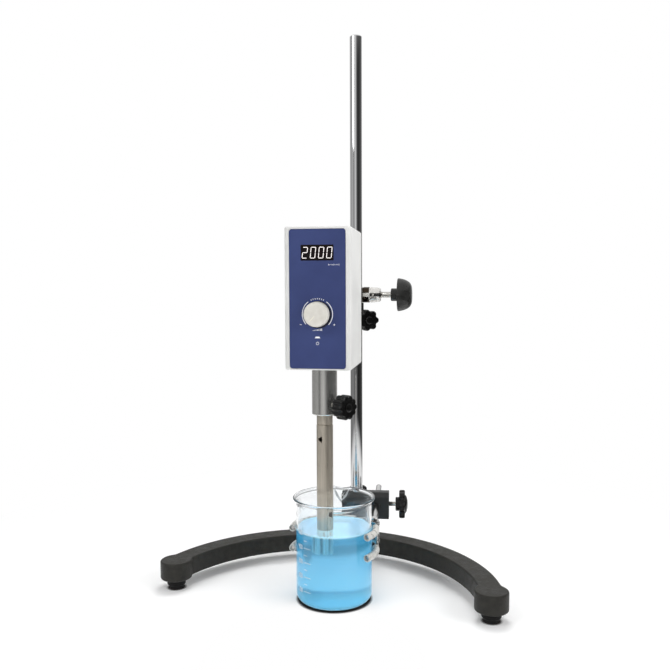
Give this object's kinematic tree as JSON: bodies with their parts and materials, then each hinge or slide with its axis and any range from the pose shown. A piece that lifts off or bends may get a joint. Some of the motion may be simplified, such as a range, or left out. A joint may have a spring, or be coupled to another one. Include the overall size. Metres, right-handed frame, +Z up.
{
  "type": "benchtop homogenizer",
  "caption": "Dispersing head with display and speed knob, clamped to a column on an arc-shaped base, with a shaft tool working in a glass beaker held by a finger clamp.",
  "frame": {"origin": "On the bench, on the axis of the column: the centre of the flat bottom of the rear foot.", "axes": "+Z up along the column. -Y is the way the head's front panel faces. +X is to the right of someone facing the panel. The base is turned by 6 degrees and the beaker holder by 4 degrees about the column against the head, as in the picture."},
  "size_m": [0.4212, 0.292, 0.7],
  "materials": {
    "cast_base": "black textured paint",
    "rubber_black": "matt",
    "polished_steel": "polished",
    "brushed_steel": "turned and brushed",
    "tool_steel": "drawn stainless tube",
    "chrome": "bright",
    "black_plastic": "moulded",
    "satin_plastic": "satin",
    "white_plastic": "fine moulded grain",
    "blue_panel": "printed overlay",
    "dark_window": "clear over black",
    "knob_plastic": "fluted",
    "motor_steel": "plain",
    "armature_metal": "laminated steel and copper",
    "graphite": "matt",
    "board_green": "solder mask",
    "pale_bush": "machined",
    "brass": "turned brass",
    "bosshead_black": "matt black",
    "pale_sleeve": "translucent",
    "glass": "clear",
    "blue_liquid": "clear blue water"
  },
  "bodies": {
    "stand": {"base_arc": "cast_base", "foot_left": "rubber_black", "foot_right": "rubber_black", "foot_rear": "rubber_black", "column": "polished_steel", "column_screw": "chrome"},
    "height_stop": {"stop_collar": "cast_base"},
    "height_stop_knob": {"stop_collar_knob": "black_plastic", "stop_collar_knob_screw": "chrome"},
    "head_clamp": {"clamp_body": "chrome"},
    "column_knob": {"dome_knob": "satin_plastic", "dome_knob_screw": "polished_steel"},
    "rod_knob": {"rod_clamp_knob": "black_plastic", "rod_clamp_knob_screw": "chrome"},
    "head": {"housing_shell": "white_plastic", "front_panel": "blue_panel", "display_window": "dark_window", "display_module": "satin_plastic", "speed_encoder": "motor_steel", "rear_cover": "white_plastic", "control_board": "board_green", "power_inlet": "black_plastic", "rod_flange": "brushed_steel", "support_rod": "polished_steel", "tool_sleeve": "brushed_steel", "motor_can": "motor_steel", "motor_end": "motor_steel", "lower_bearing": "polished_steel", "upper_bearing": "polished_steel", "brush_left": "graphite", "brush_right": "graphite", "tool_tube": "tool_steel", "stator_head": "tool_steel", "upper_bush": "pale_bush", "lower_bush": "pale_bush"},
    "tool_knob": {"sleeve_knob": "black_plastic", "sleeve_knob_screw": "chrome"},
    "drive": {"motor_shaft": "polished_steel", "armature": "armature_metal", "cooling_fan": "black_plastic", "shaft_coupling": "brass", "tool_shaft": "polished_steel", "rotor_head": "tool_steel"},
    "speed_push_rod": {"speed_spindle": "polished_steel"},
    "speed_dial": {"speed_knob": "knob_plastic"},
    "beaker_and_liquid": {"beaker": "glass", "liquid": "blue_liquid"},
    "beaker_holder": {"bosshead": "bosshead_black", "holder_rod": "polished_steel", "fixed_jaw": "brushed_steel", "jaw_pin": "polished_steel", "fixed_sleeve_upper": "pale_sleeve", "fixed_sleeve_lower": "pale_sleeve"},
    "holder_jaw": {"moving_jaw": "brushed_steel", "moving_sleeve_upper": "pale_sleeve", "moving_sleeve_lower": "pale_sleeve"},
    "rod_lock": {"holder_rod_knob": "black_plastic", "holder_rod_knob_screw": "chrome"},
    "column_lock": {"holder_column_knob": "black_plastic", "holder_column_knob_screw": "chrome"}
  },
  "joints": [
    {"name": "head_height", "type": "slide", "parent": "stand", "child": "height_stop", "axis": [0, 0, 1], "range_m": [-0.03, 0.3], "deforming": ["liquid"]},
    {"name": "stop_knob_turn", "type": "hinge", "parent": "height_stop", "child": "height_stop_knob", "pos_m": [0, 0, 0.328], "axis": [0.5, -0.866, 0], "range_deg": [0, 360]},
    {"name": "head_swing", "type": "hinge", "parent": "height_stop", "child": "head_clamp", "pos_m": [0, 0, 0.3605], "axis": [0, 0, 1], "range_deg": [-5, 12]},
    {"name": "column_knob_turn", "type": "hinge", "parent": "head_clamp", "child": "column_knob", "pos_m": [0.0558, 0, 0.3605], "axis": [1, 0, 0], "range_deg": [0, 360]},
    {"name": "rod_knob_turn", "type": "hinge", "parent": "head_clamp", "child": "rod_knob", "pos_m": [-0.045, 0, 0.3605], "axis": [-1, 0, 0], "range_deg": [0, 360]},
    {"name": "head_reach", "type": "slide", "parent": "head_clamp", "child": "head", "axis": [0, 1, 0], "range_m": [-0.012, 0.02]},
    {"name": "tool_knob_turn", "type": "hinge", "parent": "head", "child": "tool_knob", "pos_m": [-0.018, -0.1465, 0.2343], "axis": [0.829, -0.5592, 0], "range_deg": [0, 360]},
    {"name": "drive_spin", "type": "hinge", "parent": "head", "child": "drive", "pos_m": [-0.018, -0.1465, 0.3], "axis": [0, 0, 1], "continuous": true},
    {"name": "speed_push", "type": "slide", "parent": "head", "child": "speed_push_rod", "axis": [0, 1, 0], "range_m": [0, 0.0012], "stiffness_N_per_m": 900, "springref_m": -0.002},
    {"name": "speed_turn", "type": "hinge", "parent": "speed_push_rod", "child": "speed_dial", "pos_m": [-0.018, -0.19, 0.342], "axis": [0, 1, 0], "range_deg": [0, 270]},
    {"name": "beaker_lift", "type": "slide", "parent": "stand", "child": "beaker_and_liquid", "axis": [0, 0, 1], "range_m": [0, 0.012]},
    {"name": "holder_height", "type": "slide", "parent": "stand", "child": "beaker_holder", "axis": [0, 0, 1], "range_m": [-0.022, 0.018]},
    {"name": "holder_jaw_open", "type": "hinge", "parent": "beaker_holder", "child": "holder_jaw", "pos_m": [0.03484, -0.10683, 0.075], "axis": [0, 0, 1], "range_deg": [0, 25]},
    {"name": "rod_lock_turn", "type": "hinge", "parent": "beaker_holder", "child": "rod_lock", "pos_m": [0.05586, 0.00391, 0.076], "axis": [0.9976, 0.0698, 0], "range_deg": [0, 360]},
    {"name": "column_lock_turn", "type": "hinge", "parent": "beaker_holder", "child": "column_lock", "pos_m": [-0.00134, 0.01915, 0.0755], "axis": [-0.0698, 0.9976, 0], "range_deg": [0, 360]}
  ]
}
